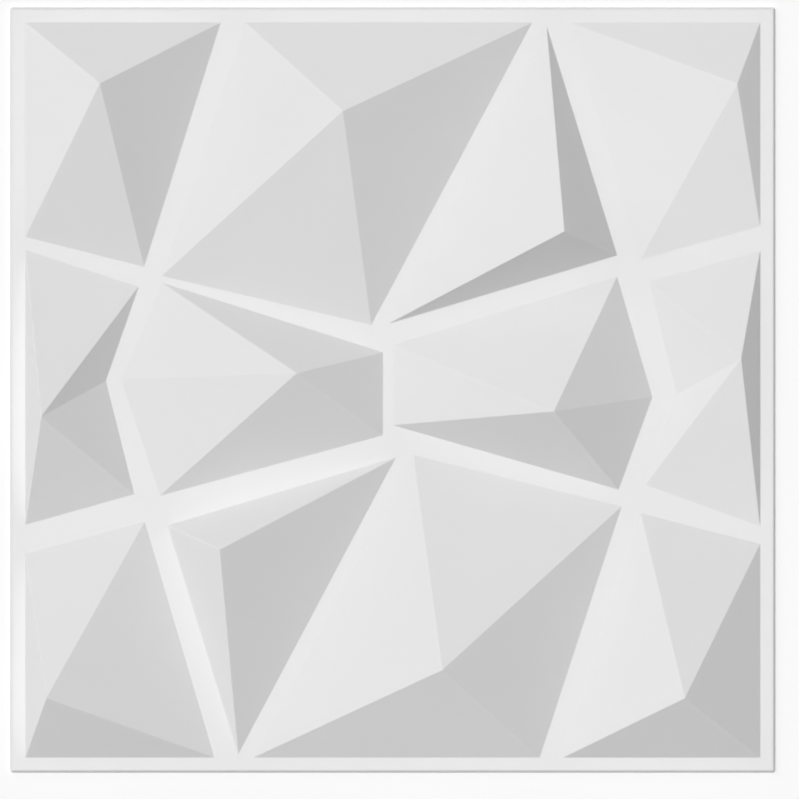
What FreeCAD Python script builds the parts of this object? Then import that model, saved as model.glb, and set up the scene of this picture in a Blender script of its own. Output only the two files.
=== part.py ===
import FreeCAD, Part
import os

# Square 3D wall panel tile, formed from one thin white plastic sheet
#
# Twelve pyramids with slanting sides stand out of a flat face. Flat tapering ribs run between them
# and a flat border runs round them. The sheet turns down at its edge and rests there on the wall, so
# the back is hollow: it follows the front, one sheet lower.
#
# Millimetres. The origin is the middle of the tile in the plane of the wall. +Z points away from the
# wall and +Y is the top of the tile as it hangs.

# Sheet and outer size
TILE_SIDE = 500.0
BORDER_WIDTH = 10.0
SHEET_THICKNESS = 1.0
RIM_HEIGHT = 3.0
RIM_RADIUS = 2.0

# Height of each peak above the flat face
TOP_LEFT_RISE = 25.0
TOP_WIDE_RISE = 25.0
TOP_SPIKE_RISE = 25.0
TOP_RIGHT_RISE = 9.0
MIDDLE_LEFT_RISE = 20.0
MIDDLE_KITE_RISE = 20.0
MIDDLE_ARROW_RISE = 25.0
MIDDLE_RIGHT_RISE = 12.0
BOTTOM_LEFT_RISE = 21.0
BOTTOM_SPIKE_RISE = 25.0
BOTTOM_WIDE_RISE = 25.0
BOTTOM_RIGHT_RISE = 25.0

# The pattern. Places are x and y from the tile's middle, in the tile of 500 mm that it was drawn on.
# Each pyramid has the corners of its foot, then its peak. The pattern reaches as far as the border,
# and is stretched to the field inside it when the tile or the border changes.
TOP_LEFT = [(-240, 240), (-112.5, 240), (-162.5, 80.5), (-240, 100)], (-191, 200)
TOP_WIDE = [(-96, 240), (91, 240), (-14, 42.5), (-151, 74.5)], (-32.5, 182)
TOP_SPIKE = [(100.5, 237.5), (146.5, 88), (-2.5, 43.5)], (112, 103.5)
TOP_RIGHT = [(115.5, 240), (240, 240), (240, 107), (161.5, 85)], (225, 200)
MIDDLE_LEFT = [(-240, 91.5), (-166, 67.5), (-187.5, 6), (-169, -68), (-240, -88)], (-229.5, -17.5)
MIDDLE_KITE = [(-150.5, 70), (-6.5, 24.5), (-6.5, -29.5), (-152, -69), (-177.5, 7)], (-62.5, 11)
MIDDLE_ARROW = [(0.5, 29.5), (146.5, 74), (169.5, -4.5), (147.5, -65), (0.5, -23)], (105, -14)
MIDDLE_RIGHT = [(167.5, 70.5), (240, 91), (240, -89), (165, -62), (185.5, -3)], (227.5, 20.5)
BOTTOM_LEFT = [(-240, -107), (-162, -86), (-116.5, -240), (-240, -240)], (-226, -201)
BOTTOM_SPIKE = [(-147, -88.5), (2, -44), (-101, -238)], (-113, -104)
BOTTOM_WIDE = [(13.5, -42.5), (149.5, -76), (96, -240), (-91, -240)], (32.5, -182.5)
BOTTOM_RIGHT = [(162, -80.5), (240, -100.5), (240, -240), (111.5, -240)], (190.5, -201)

PYRAMIDS = [
    (TOP_LEFT, TOP_LEFT_RISE),
    (TOP_WIDE, TOP_WIDE_RISE),
    (TOP_SPIKE, TOP_SPIKE_RISE),
    (TOP_RIGHT, TOP_RIGHT_RISE),
    (MIDDLE_LEFT, MIDDLE_LEFT_RISE),
    (MIDDLE_KITE, MIDDLE_KITE_RISE),
    (MIDDLE_ARROW, MIDDLE_ARROW_RISE),
    (MIDDLE_RIGHT, MIDDLE_RIGHT_RISE),
    (BOTTOM_LEFT, BOTTOM_LEFT_RISE),
    (BOTTOM_SPIKE, BOTTOM_SPIKE_RISE),
    (BOTTOM_WIDE, BOTTOM_WIDE_RISE),
    (BOTTOM_RIGHT, BOTTOM_RIGHT_RISE),
]


def field_point(place, height):
    """A place of the pattern as a point at that height above the wall."""
    drawn_reach = max(max(x, y) for (outline, peak), rise in PYRAMIDS for x, y in outline)
    stretch = (TILE_SIDE / 2 - BORDER_WIDTH) / drawn_reach
    return FreeCAD.Vector(place[0] * stretch, place[1] * stretch, height)


def pyramid(shape, foot_height, rise):
    """One pyramid, closed below by its foot."""
    outline, peak = shape
    foot = [field_point(place, foot_height) for place in outline]
    top = field_point(peak, foot_height + rise)
    faces = [Part.Face(Part.makePolygon(foot + foot[:1]))]
    for start, end in zip(foot, foot[1:] + foot[:1]):
        faces.append(Part.Face(Part.makePolygon([start, end, top, start])))
    return Part.makeSolid(Part.makeShell(faces))


def rounded_plate(side, height, radius):
    """A square plate on the wall, with its upper edges and its four corners rounded."""
    plate = Part.makeBox(side, side, height, FreeCAD.Vector(-side / 2, -side / 2, 0))
    if radius <= 0:
        return plate
    rounded = [edge for edge in plate.Edges if edge.BoundBox.ZMax > 0]
    return plate.makeFillet(radius, rounded)


def relief(side, height, radius):
    """The plate with every pyramid standing on it, as one solid."""
    plate = rounded_plate(side, height, radius)
    pyramids = [pyramid(shape, height, rise) for shape, rise in PYRAMIDS]
    return plate.multiFuse(pyramids).removeSplitter()


def wall_panel_tile():
    """The formed sheet: its front, less the same form one sheet lower and inside the rim."""
    front = relief(TILE_SIDE, RIM_HEIGHT, RIM_RADIUS)
    back = relief(
        TILE_SIDE - 2 * SHEET_THICKNESS,
        RIM_HEIGHT - SHEET_THICKNESS,
        RIM_RADIUS - SHEET_THICKNESS,
    )
    return front.cut(back)


os.makedirs("parts", exist_ok=True)
wall_panel_tile().exportStep(os.path.join("parts", "wall_panel_tile.step"))
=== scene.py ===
import math

import bmesh
import bpy
from bpy.props import FloatProperty, FloatVectorProperty, IntProperty, PointerProperty
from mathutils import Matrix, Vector


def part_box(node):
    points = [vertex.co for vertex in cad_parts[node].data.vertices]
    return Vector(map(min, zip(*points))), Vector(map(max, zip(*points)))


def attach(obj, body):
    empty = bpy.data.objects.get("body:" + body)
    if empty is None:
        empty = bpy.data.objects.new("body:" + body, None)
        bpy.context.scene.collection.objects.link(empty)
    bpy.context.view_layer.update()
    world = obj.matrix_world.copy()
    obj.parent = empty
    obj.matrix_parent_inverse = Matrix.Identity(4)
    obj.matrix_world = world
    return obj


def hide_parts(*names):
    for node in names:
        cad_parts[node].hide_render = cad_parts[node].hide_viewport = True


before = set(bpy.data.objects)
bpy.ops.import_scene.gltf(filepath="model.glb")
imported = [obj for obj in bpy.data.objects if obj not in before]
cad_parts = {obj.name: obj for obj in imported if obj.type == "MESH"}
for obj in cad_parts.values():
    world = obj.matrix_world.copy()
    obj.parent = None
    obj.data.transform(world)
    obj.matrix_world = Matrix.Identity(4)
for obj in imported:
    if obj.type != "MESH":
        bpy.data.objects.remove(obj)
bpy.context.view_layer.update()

# Square wall panel tile, formed from one thin white plastic sheet
#
# Metres. The tile lies on the floor with its face up: the middle of its back is the origin, +Z
# points out of its face and +Y is its top as it hangs.

bl_info = {
    "name": "Faceted wall panel tile",
    "version": (1, 0, 0),
    "blender": (4, 5, 0),
    "location": "3D View > Sidebar > Wall tile",
    "description": "Builds a wall panel tile formed from one plastic sheet, and a studio to show it in",
    "category": "Object",
}

TILE_NODE = "wall_panel_tile"
MM = 0.001

# Points nearer than this are one point
SAME_POINT = 0.01 * MM

# A peak stands at least this far above every corner of its foot
LOWEST_RISE = 5 * MM

# Faces that meet at a smaller angle than this are one flat face
FLATTEST_CREASE = math.radians(1)

# Share that large faces have in the shading of a rounding: all of it, so that facets look flat
LARGE_FACE_WEIGHT = 100

# Finish of PVC and of the floor's paint, and the finer layers of noise in each pattern
PVC_IOR = 1.53
PAINT_ROUGHNESS = 0.9
WAVE_LAYERS = 1.0
GRAIN_LAYERS = 2.0

# The photograph's frame, and the tile's edges in it
PHOTO_WIDTH_PX = 799
TILE_LEFT_PX = 9.5
TILE_RIGHT_PX = 776.0
TILE_TOP_PX = 8.0
TILE_BOTTOM_PX = 772.0

# Millimetres. The lens is long, because the photograph shows no perspective.
CAMERA_LENS = 1000.0
CAMERA_SENSOR = 36.0

# The floor lies this far below the rim, so that the two don't share a plane
FLOOR_GAP = 0.2 * MM

# A sun lights the tile evenly from any distance. This one keeps the lamps clear of the tile.
LAMP_DISTANCE = 3.0


# What the frame says


def joined_copy(node):
    """A copy of a node's mesh with its loose triangles joined at their corners."""
    joined = bmesh.new()
    joined.from_mesh(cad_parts[node].data)
    bmesh.ops.remove_doubles(joined, verts=joined.verts, dist=SAME_POINT)
    joined.normal_update()
    return joined


def pyramids_of(node):
    """Every pyramid as its foot's corners, in order round it, and its peak. Front ones, then back ones."""
    joined = joined_copy(node)
    sides = {True: [], False: []}
    for vertex in joined.verts:
        corners = [edge.other_vert(vertex).co.copy() for edge in vertex.link_edges]
        if any(vertex.co.z - corner.z < LOWEST_RISE for corner in corners):
            continue
        peak = vertex.co.copy()
        corners.sort(key=lambda corner: math.atan2(corner.y - peak.y, corner.x - peak.x))
        sides[vertex.normal.z > 0].append((corners, peak))
    joined.free()
    if not sides[True] or len(sides[True]) != len(sides[False]):
        raise RuntimeError("the frame's tile has no matching peaks on its front and back")
    return sides[True], sides[False]


def highest_peak(pyramids):
    """Height of the highest peak."""
    return max(peak.z for corners, peak in pyramids)


FRONT_PYRAMIDS, BACK_PYRAMIDS = pyramids_of(TILE_NODE)
TILE_LOW, TILE_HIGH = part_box(TILE_NODE)
TILE_SIDE = TILE_HIGH.x - TILE_LOW.x
FACE_HEIGHT = min(corner.z for corners, peak in FRONT_PYRAMIDS for corner in corners)
SHEET_THICKNESS = highest_peak(FRONT_PYRAMIDS) - highest_peak(BACK_PYRAMIDS)


# Settings


def linear_colour(sheet_hex):
    """An sRGB hex colour as linear red, green and blue."""
    shares = [int(sheet_hex[place:place + 2], 16) / 255 for place in (1, 3, 5)]
    return [s / 12.92 if s <= 0.04045 else ((s + 0.055) / 1.055) ** 2.4 for s in shares]


class FormedSheetSettings(bpy.types.PropertyGroup):
    """Sizes of the formed sheet."""

    tile_side: FloatProperty(
        name="Tile side",
        description="Width and height of the tile over its rim",
        default=TILE_SIDE,
        unit="LENGTH",
    )
    face_height: FloatProperty(
        name="Face height",
        description="Height of the flat ribs and border above the wall",
        default=FACE_HEIGHT,
        unit="LENGTH",
    )
    sheet_thickness: FloatProperty(
        name="Sheet thickness",
        description="Gauge of the plastic sheet, measured through the tile",
        default=SHEET_THICKNESS,
        unit="LENGTH",
    )
    rim_rounding: FloatProperty(
        name="Rim rounding",
        description="Radius that the sheet turns down with at the rim and at the tile's corners",
        default=2 * MM,
        unit="LENGTH",
    )
    crease_rounding: FloatProperty(
        name="Crease rounding",
        description="How far the rounding of a crease reaches into the facets beside it",
        default=0.5 * MM,
        unit="LENGTH",
    )
    rounding_steps: IntProperty(
        name="Rounding steps",
        description="Strips that make up the rounding of a crease or of the rim",
        default=4,
        min=1,
    )


class PlasticSettings(bpy.types.PropertyGroup):
    """Finish of the plastic."""

    colour: FloatVectorProperty(
        name="Colour",
        description="Colour of the plastic",
        default=linear_colour("#F0F0F0"),
        subtype="COLOR",
    )
    thin_colour: FloatVectorProperty(
        name="Thin colour",
        description="Colour where the sheet was drawn thinner",
        default=linear_colour("#ECECEC"),
        subtype="COLOR",
    )
    roughness: FloatProperty(
        name="Roughness",
        description="Middle of the plastic's roughness",
        default=0.38,
        subtype="FACTOR",
    )
    roughness_spread: FloatProperty(
        name="Roughness spread",
        description="How far the roughness of a grain may be from the middle",
        default=0.04,
        subtype="FACTOR",
    )
    # Real grain is 0.1 to 0.2 mm wide. That is too fine to show in the render, so it is drawn wider.
    grain_width: FloatProperty(
        name="Grain width",
        description="Width of one grain of the blasted mould's matt texture",
        default=0.6 * MM,
        unit="LENGTH",
    )
    grain_depth: FloatProperty(
        name="Grain depth",
        description="Depth of the matt texture",
        default=0.06 * MM,
        unit="LENGTH",
    )
    wave_width: FloatProperty(
        name="Wave width",
        description="Width of the slow waves that cooling leaves in a formed sheet",
        default=70 * MM,
        unit="LENGTH",
    )
    wave_depth: FloatProperty(
        name="Wave depth",
        description="Depth of those waves",
        default=0.15 * MM,
        unit="LENGTH",
    )


class StudioSettings(bpy.types.PropertyGroup):
    """Floor and light."""

    floor_colour: FloatVectorProperty(
        name="Floor colour",
        description="Colour of the floor",
        default=linear_colour("#FDFDFD"),
        subtype="COLOR",
    )
    floor_side: FloatProperty(
        name="Floor side",
        description="Width of the floor",
        default=60.0,
        unit="LENGTH",
    )
    ambient: FloatProperty(
        name="Ambient light",
        description="Strength of the even light from all round",
        default=0.03,
    )
    floor_glow: FloatProperty(
        name="Floor glow",
        description="Share of the floor that glows where it is seen or mirrored, so that it is white",
        default=0.4,
        subtype="FACTOR",
    )
    glow_strength: FloatProperty(
        name="Glow strength",
        description="Strength of that glow",
        default=1.26,
    )
    light: FloatProperty(
        name="Lamp light",
        description="Strength that every lamp is multiplied by",
        default=1.0,
    )


# Node trees


def add_node(tree, kind, settings=None, inputs=None):
    """Adds a node with its settings. An input gets a value, a node's output or a list of outputs."""
    node = tree.nodes.new(kind)
    for name, value in (settings or {}).items():
        setattr(node, name, value)
    for name, value in (inputs or {}).items():
        for source in value if isinstance(value, list) else [value]:
            if isinstance(source, bpy.types.NodeSocket):
                tree.links.new(source, node.inputs[name])
            else:
                node.inputs[name].default_value = source
    return node


def new_geometry_tree(name, inputs):
    """A geometry tree with one geometry in, one geometry out and these named inputs."""
    tree = bpy.data.node_groups.new(name, "GeometryNodeTree")
    tree.interface.new_socket("Geometry", in_out="INPUT", socket_type="NodeSocketGeometry")
    for label, kind in inputs.items():
        tree.interface.new_socket(label, in_out="INPUT", socket_type=kind)
    tree.interface.new_socket("Geometry", in_out="OUTPUT", socket_type="NodeSocketGeometry")
    return tree


def one_side_tree():
    """One side of the sheet: the feet raised to their peaks, the flat face between them, the rim's wall."""
    tree = new_geometry_tree(
        "one_side_of_sheet",
        {
            "Side": "NodeSocketFloat",
            "Face Height": "NodeSocketFloat",
            "Drop": "NodeSocketFloat",
            "Rim Share": "NodeSocketFloat",
            "Crease Share": "NodeSocketFloat",
        },
    )
    given = add_node(tree, "NodeGroupInput").outputs
    position = add_node(tree, "GeometryNodeInputPosition").outputs[0]

    face_level = add_node(tree, "ShaderNodeCombineXYZ", inputs={"Z": given["Face Height"]}).outputs[0]
    on_face = add_node(
        tree,
        "ShaderNodeVectorMath",
        {"operation": "MULTIPLY_ADD"},
        {0: position, 1: (1, 1, 0), 2: face_level},
    ).outputs[0]
    feet = add_node(
        tree,
        "GeometryNodeSetPosition",
        inputs={"Geometry": given["Geometry"], "Position": on_face},
    ).outputs[0]

    lids = add_node(
        tree,
        "GeometryNodeExtrudeMesh",
        {"mode": "FACES"},
        {"Mesh": feet, "Offset Scale": 0.0, "Individual": True},
    )
    peak = add_node(
        tree,
        "GeometryNodeInputNamedAttribute",
        {"data_type": "FLOAT_VECTOR"},
        {"Name": "peak"},
    ).outputs[0]
    drop = add_node(tree, "ShaderNodeCombineXYZ", inputs={"Z": given["Drop"]}).outputs[0]
    peak_here = add_node(
        tree,
        "ShaderNodeVectorMath",
        {"operation": "SUBTRACT"},
        {0: peak, 1: drop},
    ).outputs[0]
    pyramids = add_node(
        tree,
        "GeometryNodeSetPosition",
        inputs={
            "Geometry": lids.outputs["Mesh"],
            "Selection": lids.outputs["Top"],
            "Position": peak_here,
        },
    ).outputs[0]

    square = add_node(
        tree,
        "GeometryNodeCurvePrimitiveQuadrilateral",
        {"mode": "RECTANGLE"},
        {"Width": given["Side"], "Height": given["Side"]},
    ).outputs[0]
    foot_lines = add_node(tree, "GeometryNodeMeshToCurve", inputs={"Mesh": feet}).outputs[0]
    lines = add_node(tree, "GeometryNodeJoinGeometry", inputs={0: [square, foot_lines]}).outputs[0]
    filled = add_node(tree, "GeometryNodeFillCurve", {"mode": "NGONS"}, {"Curve": lines}).outputs[0]
    face = add_node(
        tree,
        "GeometryNodeSetPosition",
        inputs={"Geometry": filled, "Position": on_face},
    ).outputs[0]

    sizes = add_node(tree, "ShaderNodeVectorMath", {"operation": "ABSOLUTE"}, {0: position}).outputs[0]
    across = add_node(tree, "ShaderNodeSeparateXYZ", inputs={0: sizes}).outputs
    reach = add_node(
        tree,
        "ShaderNodeMath",
        {"operation": "MAXIMUM"},
        {0: across["X"], 1: across["Y"]},
    ).outputs[0]
    nearly_half_side = add_node(
        tree,
        "ShaderNodeMath",
        {"operation": "MULTIPLY_ADD"},
        {0: given["Side"], 1: 0.5, 2: -SAME_POINT},
    ).outputs[0]
    at_rim = add_node(
        tree,
        "ShaderNodeMath",
        {"operation": "GREATER_THAN"},
        {0: reach, 1: nearly_half_side},
    ).outputs[0]
    to_wall = add_node(tree, "ShaderNodeCombineXYZ", inputs={"Z": -1.0}).outputs[0]
    face_and_wall = add_node(
        tree,
        "GeometryNodeExtrudeMesh",
        {"mode": "EDGES"},
        {"Mesh": face, "Selection": at_rim, "Offset": to_wall, "Offset Scale": given["Face Height"]},
    ).outputs["Mesh"]

    together = add_node(tree, "GeometryNodeJoinGeometry", inputs={0: [face_and_wall, pyramids]}).outputs[0]
    joined = add_node(
        tree,
        "GeometryNodeMergeByDistance",
        inputs={"Geometry": together, "Distance": SAME_POINT},
    ).outputs[0]

    bend = add_node(tree, "GeometryNodeInputMeshEdgeAngle").outputs["Unsigned Angle"]
    is_bent = add_node(
        tree,
        "ShaderNodeMath",
        {"operation": "GREATER_THAN"},
        {0: bend, 1: FLATTEST_CREASE},
    ).outputs[0]
    share = add_node(
        tree,
        "ShaderNodeMix",
        {"data_type": "FLOAT"},
        {0: at_rim, 2: given["Crease Share"], 3: given["Rim Share"]},
    ).outputs[0]
    rounding = add_node(
        tree,
        "ShaderNodeMath",
        {"operation": "MULTIPLY"},
        {0: is_bent, 1: share},
    ).outputs[0]
    marked = add_node(
        tree,
        "GeometryNodeStoreNamedAttribute",
        {"data_type": "FLOAT", "domain": "EDGE"},
        {"Geometry": joined, "Name": "bevel_weight_edge", "Value": rounding},
    ).outputs[0]
    add_node(tree, "NodeGroupOutput", inputs={0: marked})
    return tree


def formed_sheet_tree():
    """The whole sheet: its front, its back one sheet lower, and the ring that the rim rests on."""
    tree = new_geometry_tree(
        "formed_sheet",
        {
            "Tile Side": "NodeSocketFloat",
            "Face Height": "NodeSocketFloat",
            "Sheet Thickness": "NodeSocketFloat",
            "Inner Rim Share": "NodeSocketFloat",
            "Crease Share": "NodeSocketFloat",
            "Plastic": "NodeSocketMaterial",
        },
    )
    given = add_node(tree, "NodeGroupInput").outputs
    one_side = one_side_tree()
    front = add_node(
        tree,
        "GeometryNodeGroup",
        {"node_tree": one_side},
        {
            "Geometry": given["Geometry"],
            "Side": given["Tile Side"],
            "Face Height": given["Face Height"],
            "Drop": 0.0,
            "Rim Share": 1.0,
            "Crease Share": given["Crease Share"],
        },
    ).outputs[0]

    # The hollow is one sheet smaller on either side
    inner_side = add_node(
        tree,
        "ShaderNodeMath",
        {"operation": "MULTIPLY_ADD"},
        {0: given["Sheet Thickness"], 1: -2.0, 2: given["Tile Side"]},
    ).outputs[0]
    inner_height = add_node(
        tree,
        "ShaderNodeMath",
        {"operation": "SUBTRACT"},
        {0: given["Face Height"], 1: given["Sheet Thickness"]},
    ).outputs[0]
    hollow = add_node(
        tree,
        "GeometryNodeGroup",
        {"node_tree": one_side},
        {
            "Geometry": given["Geometry"],
            "Side": inner_side,
            "Face Height": inner_height,
            "Drop": given["Sheet Thickness"],
            "Rim Share": given["Inner Rim Share"],
            "Crease Share": given["Crease Share"],
        },
    ).outputs[0]
    back = add_node(tree, "GeometryNodeFlipFaces", inputs={"Mesh": hollow}).outputs[0]

    squares = [
        add_node(
            tree,
            "GeometryNodeCurvePrimitiveQuadrilateral",
            {"mode": "RECTANGLE"},
            {"Width": side, "Height": side},
        ).outputs[0]
        for side in (given["Tile Side"], inner_side)
    ]
    ring_lines = add_node(tree, "GeometryNodeJoinGeometry", inputs={0: squares}).outputs[0]
    ring = add_node(tree, "GeometryNodeFillCurve", {"mode": "NGONS"}, {"Curve": ring_lines}).outputs[0]
    seat = add_node(tree, "GeometryNodeFlipFaces", inputs={"Mesh": ring}).outputs[0]

    together = add_node(tree, "GeometryNodeJoinGeometry", inputs={0: [front, back, seat]}).outputs[0]
    closed = add_node(
        tree,
        "GeometryNodeMergeByDistance",
        inputs={"Geometry": together, "Distance": SAME_POINT},
    ).outputs[0]
    smooth = add_node(tree, "GeometryNodeSetShadeSmooth", inputs={"Geometry": closed}).outputs[0]
    plain = add_node(
        tree,
        "GeometryNodeRemoveAttribute",
        inputs={"Geometry": smooth, "Name": "peak"},
    ).outputs[0]
    real = add_node(tree, "GeometryNodeRealizeInstances", inputs={"Geometry": plain}).outputs[0]
    finished = add_node(
        tree,
        "GeometryNodeSetMaterial",
        inputs={"Geometry": real, "Material": given["Plastic"]},
    ).outputs[0]
    add_node(tree, "NodeGroupOutput", inputs={0: finished})
    return tree


# Materials


def new_material(name):
    """An empty node material."""
    material = bpy.data.materials.new(name)
    material.use_nodes = True
    material.node_tree.nodes.clear()
    return material


def vacuum_formed_pvc(settings):
    """White PVC sheet, vacuum formed over a blasted mould."""
    # The mould's grain makes it matt, so its highlights are broad and faint. The slow waves that
    # cooling leaves keep large facets from being one even tone.
    material = new_material("vacuum_formed_pvc")
    tree = material.node_tree
    place = add_node(tree, "ShaderNodeTexCoord").outputs["Object"]

    waves = add_node(
        tree,
        "ShaderNodeTexNoise",
        inputs={"Vector": place, "Scale": 1 / settings.wave_width, "Detail": WAVE_LAYERS},
    ).outputs[0]
    waved = add_node(
        tree,
        "ShaderNodeBump",
        inputs={"Height": waves, "Distance": settings.wave_depth},
    ).outputs[0]
    grain = add_node(
        tree,
        "ShaderNodeTexNoise",
        inputs={"Vector": place, "Scale": 1 / settings.grain_width, "Detail": GRAIN_LAYERS},
    ).outputs[0]
    grained = add_node(
        tree,
        "ShaderNodeBump",
        inputs={"Height": grain, "Distance": settings.grain_depth, "Normal": waved},
    ).outputs[0]

    # The sheet thins and clears a little where it was drawn, in patches as wide as the waves
    colour = add_node(
        tree,
        "ShaderNodeMix",
        {"data_type": "RGBA"},
        {0: waves, 6: (*settings.colour, 1), 7: (*settings.thin_colour, 1)},
    ).outputs[2]
    roughness = add_node(
        tree,
        "ShaderNodeMapRange",
        inputs={
            "Value": grain,
            "To Min": settings.roughness - settings.roughness_spread,
            "To Max": settings.roughness + settings.roughness_spread,
        },
    ).outputs[0]
    plastic = add_node(
        tree,
        "ShaderNodeBsdfPrincipled",
        inputs={"Base Color": colour, "Roughness": roughness, "IOR": PVC_IOR, "Normal": grained},
    ).outputs[0]
    add_node(tree, "ShaderNodeOutputMaterial", inputs={"Surface": plastic})
    return material


def where_shown(tree, share):
    """That share where the camera sees a thing, directly, mirrored or through glass, and else nought."""
    path = add_node(tree, "ShaderNodeLightPath").outputs
    seen_or_mirrored = add_node(
        tree,
        "ShaderNodeMath",
        {"operation": "MAXIMUM"},
        {0: path["Is Camera Ray"], 1: path["Is Glossy Ray"]},
    ).outputs[0]
    shown = add_node(
        tree,
        "ShaderNodeMath",
        {"operation": "MAXIMUM"},
        {0: seen_or_mirrored, 1: path["Is Transmission Ray"]},
    ).outputs[0]
    return add_node(
        tree,
        "ShaderNodeMath",
        {"operation": "MULTIPLY"},
        {0: shown, 1: share},
    ).outputs[0]


def painted_floor(settings):
    """Rolled emulsion paint, flat white, on a studio floor."""
    # It has no shine and takes the tile's soft shadow. From below it is clear to the eye, and it lets
    # the back lamp's light through.
    material = new_material("painted_floor")
    tree = material.node_tree
    paint = add_node(
        tree,
        "ShaderNodeBsdfPrincipled",
        inputs={
            "Base Color": (*settings.floor_colour, 1),
            "Roughness": PAINT_ROUGHNESS,
            "Specular IOR Level": 0.0,
        },
    ).outputs[0]
    glow = add_node(
        tree,
        "ShaderNodeEmission",
        inputs={"Color": (1, 1, 1, 1), "Strength": settings.glow_strength},
    ).outputs[0]
    lit = add_node(
        tree,
        "ShaderNodeMixShader",
        inputs={0: where_shown(tree, settings.floor_glow), 1: paint, 2: glow},
    ).outputs[0]
    clear = add_node(tree, "ShaderNodeBsdfTransparent").outputs[0]
    from_below = add_node(tree, "ShaderNodeNewGeometry").outputs["Backfacing"]
    to_lamp = add_node(tree, "ShaderNodeLightPath").outputs["Is Shadow Ray"]
    is_clear = add_node(
        tree,
        "ShaderNodeMath",
        {"operation": "MAXIMUM"},
        {0: from_below, 1: to_lamp},
    ).outputs[0]
    floor = add_node(tree, "ShaderNodeMixShader", inputs={0: is_clear, 1: lit, 2: clear}).outputs[0]
    add_node(tree, "ShaderNodeOutputMaterial", inputs={"Surface": floor})
    return material


# Pieces


def foot_plan():
    """A mesh with one face for each foot on the flat face, which carries the place of its peak."""
    mesh = bpy.data.meshes.new("foot_plan")
    corners = [corner for foot, peak in FRONT_PYRAMIDS for corner in foot]
    faces = []
    for foot, peak in FRONT_PYRAMIDS:
        first = sum(len(face) for face in faces)
        faces.append(range(first, first + len(foot)))
    mesh.from_pydata(corners, [], faces)
    peaks = mesh.attributes.new("peak", "FLOAT_VECTOR", "FACE")
    peaks.data.foreach_set("vector", [number for foot, peak in FRONT_PYRAMIDS for number in peak])
    return mesh


def applied(piece):
    """Turns the piece's modifiers into its mesh."""
    depsgraph = bpy.context.evaluated_depsgraph_get()
    mesh = bpy.data.meshes.new_from_object(
        piece.evaluated_get(depsgraph),
        preserve_all_data_layers=True,
        depsgraph=depsgraph,
    )
    piece.modifiers.clear()
    piece.data = mesh
    mesh.name = piece.name


def check_closed(piece):
    """Raises an error if the piece's mesh has an open or doubled edge."""
    shell = bmesh.new()
    shell.from_mesh(piece.data)
    faults = sum(not edge.is_manifold for edge in shell.edges)
    volume = shell.calc_volume(signed=True)
    shell.free()
    if faults or volume <= 0:
        raise RuntimeError(f"{piece.name} has {faults} open edges and holds {volume} cubic metres")


class WALLTILE_OT_formed_sheet(bpy.types.Operator):
    """Build the tile: one formed plastic sheet with twelve pyramids"""

    bl_idname = "walltile.formed_sheet"
    bl_label = "Formed sheet"

    def execute(self, context):
        settings = context.scene.formed_sheet
        piece = bpy.data.objects.new("formed_sheet", foot_plan())
        context.scene.collection.objects.link(piece)

        values = {
            "Tile Side": settings.tile_side,
            "Face Height": settings.face_height,
            "Sheet Thickness": settings.sheet_thickness,
            "Inner Rim Share": 1 - settings.sheet_thickness / settings.rim_rounding,
            "Crease Share": settings.crease_rounding / settings.rim_rounding,
            "Plastic": vacuum_formed_pvc(context.scene.plastic),
        }
        forming = piece.modifiers.new("Forming", "NODES")
        forming.node_group = formed_sheet_tree()
        for socket in forming.node_group.interface.items_tree:
            if socket.in_out == "INPUT" and socket.name in values:
                forming[socket.identifier] = values[socket.name]

        rounding = piece.modifiers.new("Rounding", "BEVEL")
        rounding.limit_method = "WEIGHT"
        rounding.width = settings.rim_rounding
        rounding.segments = settings.rounding_steps
        rounding.use_clamp_overlap = False
        shading = piece.modifiers.new("Shading", "WEIGHTED_NORMAL")
        shading.weight = LARGE_FACE_WEIGHT

        applied(piece)
        check_closed(piece)
        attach(piece, "root")
        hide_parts(TILE_NODE)
        return {"FINISHED"}


# Studio


# Where each lamp stands round the tile, its height, how wide it looks and its strength. All are in
# degrees but the last. Nought is to the right of the photograph and 90 above it. The overhead lamp
# gives the flat ribs their faint sheen, the broad key lamp shades the facets, and the back lamp
# shines up through the floor on the hollow back.
LAMPS = {
    "overhead_lamp": (0, 90, 12, 0.92),
    "key_lamp": (150, 50, 80, 1.78),
    "back_lamp": (145, -70, 30, 0.9),
}


def place_lamps(settings, collection):
    """Soft lamps that light the whole tile evenly."""
    for name, (bearing, height, width, strength) in LAMPS.items():
        lamp = bpy.data.lights.new(name, "SUN")
        lamp.angle = math.radians(width)
        lamp.energy = strength * settings.light
        stand = bpy.data.objects.new(name, lamp)
        collection.objects.link(stand)
        level = math.cos(math.radians(height))
        towards = Vector((
            level * math.cos(math.radians(bearing)),
            level * math.sin(math.radians(bearing)),
            math.sin(math.radians(height)),
        ))
        stand.rotation_euler = towards.to_track_quat("Z", "Y").to_euler()
        stand.location = towards * LAMP_DISTANCE


def place_camera(collection):
    """A long lens straight above the tile, with the photograph's frame."""
    metres_per_px = TILE_SIDE / ((TILE_RIGHT_PX - TILE_LEFT_PX + TILE_BOTTOM_PX - TILE_TOP_PX) / 2)
    middle_px = PHOTO_WIDTH_PX / 2
    camera = bpy.data.cameras.new("camera")
    camera.lens = CAMERA_LENS
    camera.sensor_width = CAMERA_SENSOR
    distance = PHOTO_WIDTH_PX * metres_per_px * CAMERA_LENS / CAMERA_SENSOR
    stand = bpy.data.objects.new("camera", camera)
    collection.objects.link(stand)
    stand.location = (
        (middle_px - (TILE_LEFT_PX + TILE_RIGHT_PX) / 2) * metres_per_px,
        ((TILE_TOP_PX + TILE_BOTTOM_PX) / 2 - middle_px) * metres_per_px,
        distance,
    )
    bpy.context.scene.camera = stand


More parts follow.
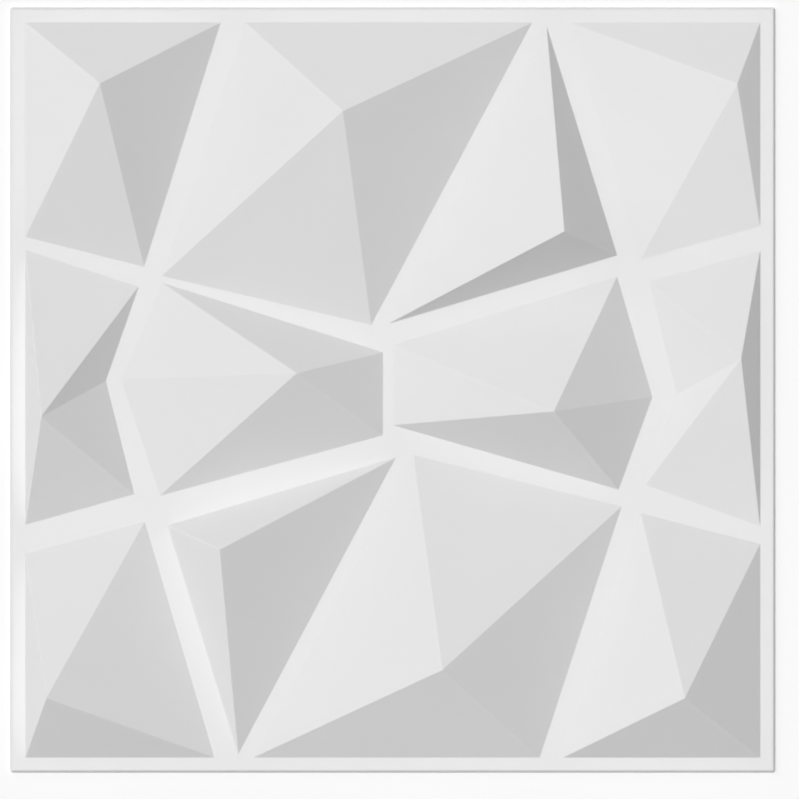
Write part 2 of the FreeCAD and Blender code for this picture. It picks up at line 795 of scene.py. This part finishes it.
class WALLTILE_OT_studio(bpy.types.Operator):
    """Build the floor, the lamps and the camera"""

    bl_idname = "walltile.studio"
    bl_label = "Studio"

    def execute(self, context):
        settings = context.scene.studio
        collection = context.scene.collection
        half = settings.floor_side / 2
        mesh = bpy.data.meshes.new("floor")
        level = TILE_LOW.z - FLOOR_GAP
        mesh.from_pydata(
            [(-half, -half, level), (half, -half, level), (half, half, level), (-half, half, level)],
            [],
            [(0, 1, 2, 3)],
        )
        mesh.materials.append(painted_floor(settings))
        floor = bpy.data.objects.new("floor", mesh)
        collection.objects.link(floor)

        world = bpy.data.worlds.new("studio")
        context.scene.world = world
        world.use_nodes = True
        world.node_tree.nodes.clear()
        strength = add_node(
            world.node_tree,
            "ShaderNodeMath",
            {"operation": "ADD"},
            {0: where_shown(world.node_tree, 1 - settings.ambient), 1: settings.ambient},
        ).outputs[0]
        air = add_node(
            world.node_tree,
            "ShaderNodeBackground",
            inputs={"Color": (1, 1, 1, 1), "Strength": strength},
        ).outputs[0]
        add_node(world.node_tree, "ShaderNodeOutputWorld", inputs={"Surface": air})

        place_lamps(settings, collection)
        place_camera(collection)
        context.scene.view_settings.view_transform = "Standard"
        return {"FINISHED"}


class WALLTILE_PT_panel(bpy.types.Panel):
    """The tile's parts, finish and studio"""

    bl_idname = "WALLTILE_PT_panel"
    bl_label = "Wall tile"
    bl_space_type = "VIEW_3D"
    bl_region_type = "UI"
    bl_category = "Wall tile"

    def draw(self, context):
        for group, operators in (
            (context.scene.formed_sheet, [WALLTILE_OT_formed_sheet]),
            (context.scene.plastic, []),
            (context.scene.studio, [WALLTILE_OT_studio]),
        ):
            box = self.layout.box()
            for name in group.bl_rna.properties.keys():
                if name not in ("rna_type", "name"):
                    box.prop(group, name)
            for operator in operators:
                box.operator(operator.bl_idname)


CLASSES = [
    FormedSheetSettings,
    PlasticSettings,
    StudioSettings,
    WALLTILE_OT_formed_sheet,
    WALLTILE_OT_studio,
    WALLTILE_PT_panel,
]


def register():
    """Registers the classes and the settings of the scene."""
    for each in CLASSES:
        bpy.utils.register_class(each)
    bpy.types.Scene.formed_sheet = PointerProperty(type=FormedSheetSettings)
    bpy.types.Scene.plastic = PointerProperty(type=PlasticSettings)
    bpy.types.Scene.studio = PointerProperty(type=StudioSettings)


def unregister():
    """Removes what register added."""
    del bpy.types.Scene.studio
    del bpy.types.Scene.plastic
    del bpy.types.Scene.formed_sheet
    for each in reversed(CLASSES):
        bpy.utils.unregister_class(each)


def main():
    """Builds everything in order."""
    register()
    bpy.ops.walltile.formed_sheet()
    bpy.ops.walltile.studio()


if __name__ == "__main__":
    main()
